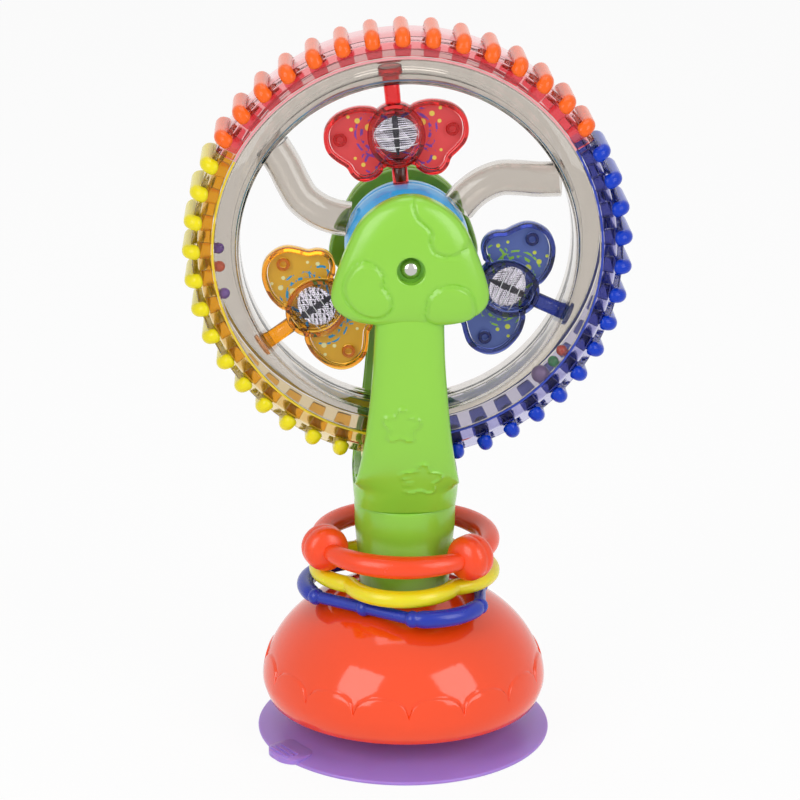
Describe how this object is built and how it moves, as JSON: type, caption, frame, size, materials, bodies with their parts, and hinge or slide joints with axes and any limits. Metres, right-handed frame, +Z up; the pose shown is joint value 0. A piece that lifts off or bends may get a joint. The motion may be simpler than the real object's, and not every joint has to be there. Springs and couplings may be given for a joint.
{
  "type": "suction cup spinning wheel toy",
  "caption": "Toy wheel with bumpy rim and butterfly spinners, turning in a fork on a domed base with a suction cup and loose rings.",
  "frame": {"origin": "centre of the suction cup's underside, on the surface that it stands on", "axes": "+Z up, -Y towards the viewer of the front cap, the wheel turns about Y"},
  "size_m": [0.1583, 0.109, 0.2655],
  "materials": {
    "cup_pvc": "soft satin",
    "base_orange": "gloss",
    "body_green": "gloss",
    "liner_green": "gloss",
    "steel": "polished",
    "screw_steel": "plated",
    "nylon_white": "satin",
    "hub_blue": "gloss",
    "clear_ps": "clear gloss",
    "bumps_orange": "gloss",
    "bumps_yellow": "gloss",
    "bumps_blue": "translucent gloss",
    "wing_red": "translucent gloss",
    "wing_amber": "translucent gloss",
    "wing_navy": "translucent gloss",
    "card": "printed",
    "bead_plastic": "gloss",
    "ring_orange": "satin gloss",
    "ring_yellow": "satin gloss",
    "ring_blue": "satin gloss"
  },
  "bodies": {
    "stand": {"suction_cup": "cup_pvc", "base_dome": "base_orange", "base_plate": "base_orange", "base_screw_1": "screw_steel", "base_screw_2": "screw_steel", "base_screw_3": "screw_steel", "neck": "body_green", "front_arm": "body_green", "front_liner": "liner_green", "rear_arm": "body_green", "rear_liner": "liner_green", "axle": "steel", "front_washer": "nylon_white", "rear_washer": "nylon_white"},
    "wheel": {"hub_front": "hub_blue", "hub_rear": "hub_blue", "hub_bush": "nylon_white", "spoke_1": "clear_ps", "spoke_2": "clear_ps", "spoke_3": "clear_ps", "rim_shell_front": "clear_ps", "rim_shell_rear": "clear_ps", "rim_section_orange": "bumps_orange", "rim_section_yellow": "bumps_yellow", "rim_section_blue": "bumps_blue", "bead_purple": "bead_plastic", "bead_orange": "bead_plastic", "bead_violet": "bead_plastic", "bead_red": "bead_plastic", "bead_green": "bead_plastic", "bead_lilac": "bead_plastic"},
    "red_spinner": {"red_wings_front": "wing_red", "red_wings_rear": "wing_red", "red_body_front": "clear_ps", "red_body_rear": "clear_ps", "red_card": "card"},
    "yellow_spinner": {"yellow_wings_front": "wing_amber", "yellow_wings_rear": "wing_amber", "yellow_body_front": "clear_ps", "yellow_body_rear": "clear_ps", "yellow_card": "card"},
    "blue_spinner": {"blue_wings_front": "wing_navy", "blue_wings_rear": "wing_navy", "blue_body_front": "clear_ps", "blue_body_rear": "clear_ps", "blue_card": "card"},
    "loose_ring_orange": {"ring_orange": "ring_orange"},
    "loose_ring_yellow": {"ring_yellow": "ring_yellow"},
    "loose_ring_blue": {"ring_blue": "ring_blue"}
  },
  "joints": [
    {"name": "wheel_turn", "type": "hinge", "parent": "stand", "child": "wheel", "pos_m": [0, 0, 0.1863], "axis": [0, -1, 0], "continuous": true},
    {"name": "red_spinner_turn", "type": "hinge", "parent": "wheel", "child": "red_spinner", "pos_m": [-0.00401, 0, 0.2258], "axis": [-0.1011, 0, 0.9949], "continuous": true},
    {"name": "yellow_spinner_turn", "type": "hinge", "parent": "wheel", "child": "yellow_spinner", "pos_m": [-0.0322, 0, 0.16308], "axis": [-0.8111, 0, -0.585], "continuous": true},
    {"name": "blue_spinner_turn", "type": "hinge", "parent": "wheel", "child": "blue_spinner", "pos_m": [0.03621, 0, 0.17003], "axis": [0.9121, 0, -0.4099], "continuous": true},
    {"name": "orange_ring_turn", "type": "hinge", "parent": "stand", "child": "loose_ring_orange", "pos_m": [0, 0, 0.06], "axis": [0, 0, 1], "continuous": true},
    {"name": "yellow_ring_turn", "type": "hinge", "parent": "stand", "child": "loose_ring_yellow", "pos_m": [0, 0, 0.06], "axis": [0, 0, 1], "continuous": true},
    {"name": "blue_ring_turn", "type": "hinge", "parent": "stand", "child": "loose_ring_blue", "pos_m": [0, 0, 0.06], "axis": [0, 0, 1], "continuous": true}
  ]
}
